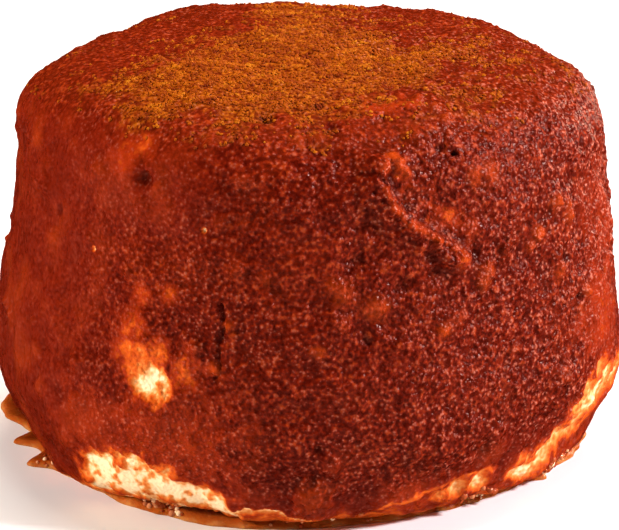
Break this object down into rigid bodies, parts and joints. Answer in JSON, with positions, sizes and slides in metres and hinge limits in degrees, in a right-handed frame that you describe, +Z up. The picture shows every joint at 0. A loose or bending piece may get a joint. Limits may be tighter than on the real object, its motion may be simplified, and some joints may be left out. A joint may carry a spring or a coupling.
{
  "type": "ball of cheese",
  "caption": "Squat hand-pressed ball of fresh cheese in a grainy coat of red chilli paste, dusted on top with ochre spice, standing in its oily run-off.",
  "frame": {"origin": "on the surface that the cheese stands on, under the middle of its bounding box", "axes": "+Z up; -Y is the front, with the bare patches low on its left; +X to the right seen from the front"},
  "size_m": [0.096, 0.095, 0.0616],
  "materials": {
    "chilli_coat": "satin",
    "marinade": "gloss",
    "spice_dust": "matte"
  },
  "bodies": {
    "root": {"cheese": "chilli_coat", "marinade_film": "marinade"}
  },
  "joints": []
}
